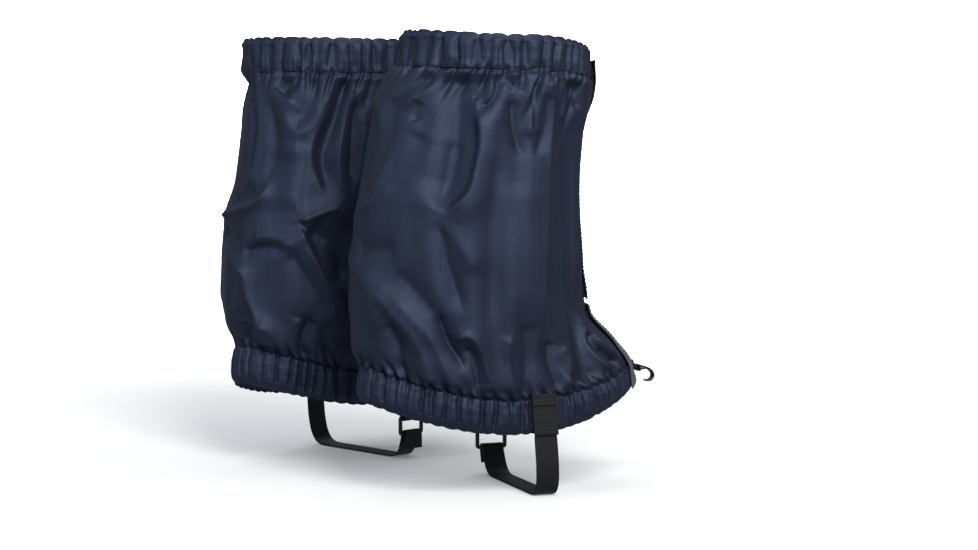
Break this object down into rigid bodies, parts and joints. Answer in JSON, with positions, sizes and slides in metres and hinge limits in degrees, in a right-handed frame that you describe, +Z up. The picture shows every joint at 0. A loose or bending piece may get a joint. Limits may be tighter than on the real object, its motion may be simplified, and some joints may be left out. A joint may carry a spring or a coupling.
{
  "type": "gaiters",
  "caption": "Pair of short pull-on hiking gaiters: gathered elastic collar and hem, front and instep flaps, lace hook, and a strap that passes under the boot.",
  "frame": {"origin": "centre of the upper face of the right instep strap's flat run, where it bears on the boot's arch", "axes": "+X forward, +Y to the wearer's left, +Z up the leg"},
  "size_m": [0.2275, 0.3107, 0.3056],
  "materials": {
    "navy_fabric": "coated woven nylon, dark navy, satin",
    "charcoal_fabric": "coated woven nylon, charcoal, dull",
    "elastic": "ribbed woven elastic, black",
    "touch_tape": "hook-and-loop tape, black",
    "webbing": "woven webbing, charcoal",
    "strap_rubber": "smooth coated strap, black, matt",
    "dark_metal": "black-coated steel wire and plate",
    "black_plastic": "moulded acetal, black",
    "pale_print": "pale reflective transfer"
  },
  "bodies": {
    "right_gaiter": {"right_shell": "navy_fabric", "right_collar_casing": "navy_fabric", "right_collar_elastic": "elastic", "right_hem_casing": "navy_fabric", "right_hem_elastic": "elastic", "right_front_hook_tape": "touch_tape", "right_instep_hook_tape": "touch_tape", "right_strap_tab_outer": "webbing", "right_strap_tab_inner": "webbing"},
    "right_front_flap": {"right_front_flap": "navy_fabric", "right_flap_loop_tape": "touch_tape"},
    "right_instep_flap": {"right_instep_flap": "charcoal_fabric", "right_instep_loop_tape": "touch_tape", "right_instep_print": "pale_print", "right_hook_tab": "webbing"},
    "right_lace_hook": {"right_lace_hook": "dark_metal"},
    "right_strap": {"right_instep_strap": "strap_rubber", "right_strap_buckle": "black_plastic", "right_buckle_loop": "webbing"},
    "left_gaiter": {"left_shell": "navy_fabric", "left_collar_casing": "navy_fabric", "left_collar_elastic": "elastic", "left_hem_casing": "navy_fabric", "left_hem_elastic": "elastic", "left_front_hook_tape": "touch_tape", "left_instep_hook_tape": "touch_tape", "left_strap_tab_outer": "webbing", "left_strap_tab_inner": "webbing"},
    "left_front_flap": {"left_front_flap": "navy_fabric", "left_flap_loop_tape": "touch_tape"},
    "left_instep_flap": {"left_instep_flap": "charcoal_fabric", "left_instep_loop_tape": "touch_tape", "left_instep_print": "pale_print", "left_hook_tab": "webbing"},
    "left_lace_hook": {"left_lace_hook": "dark_metal"},
    "left_strap": {"left_instep_strap": "strap_rubber", "left_strap_buckle": "black_plastic", "left_buckle_loop": "webbing"}
  },
  "joints": [
    {"name": "left_gaiter_spacing", "type": "slide", "parent": "right_gaiter", "child": "left_gaiter", "axis": [0, 1, 0], "range_m": [-0.03, 0.2]},
    {"name": "right_front_flap_hinge", "type": "hinge", "parent": "right_gaiter", "child": "right_front_flap", "pos_m": [0.04687, 0.01024, 0.20536], "axis": [0.0106, -0.0047, 0.9999], "range_deg": [0, 150]},
    {"name": "right_instep_flap_hinge", "type": "hinge", "parent": "right_gaiter", "child": "right_instep_flap", "pos_m": [0.06557, 0.00842, 0.09553], "axis": [-0.4609, 0.0336, 0.8868], "range_deg": [0, 110]},
    {"name": "right_lace_hook_hinge", "type": "hinge", "parent": "right_instep_flap", "child": "right_lace_hook", "pos_m": [0.08324, -0.01769, 0.0756], "axis": [0.2079, 0.9781, 0], "range_deg": [-60, 35]},
    {"name": "right_strap_swing", "type": "hinge", "parent": "right_gaiter", "child": "right_strap", "pos_m": [-0.00279, 0.00059, 0.0384], "axis": [0.2079, 0.9781, 0], "range_deg": [-45, 45]},
    {"name": "left_front_flap_hinge", "type": "hinge", "parent": "left_gaiter", "child": "left_front_flap", "pos_m": [0.02898, 0.18426, 0.2112], "axis": [0.0322, 0.004, -0.9995], "range_deg": [0, 150]},
    {"name": "left_instep_flap_hinge", "type": "hinge", "parent": "left_gaiter", "child": "left_instep_flap", "pos_m": [0.05162, 0.18688, 0.09546], "axis": [0.4598, 0.0336, -0.8874], "range_deg": [0, 110]},
    {"name": "left_lace_hook_hinge", "type": "hinge", "parent": "left_instep_flap", "child": "left_lace_hook", "pos_m": [0.06924, 0.21297, 0.0756], "axis": [-0.2079, 0.9781, 0], "range_deg": [-60, 35]},
    {"name": "left_strap_swing", "type": "hinge", "parent": "left_gaiter", "child": "left_strap", "pos_m": [-0.01679, 0.19468, 0.0384], "axis": [-0.2079, 0.9781, 0], "range_deg": [-45, 45]}
  ]
}
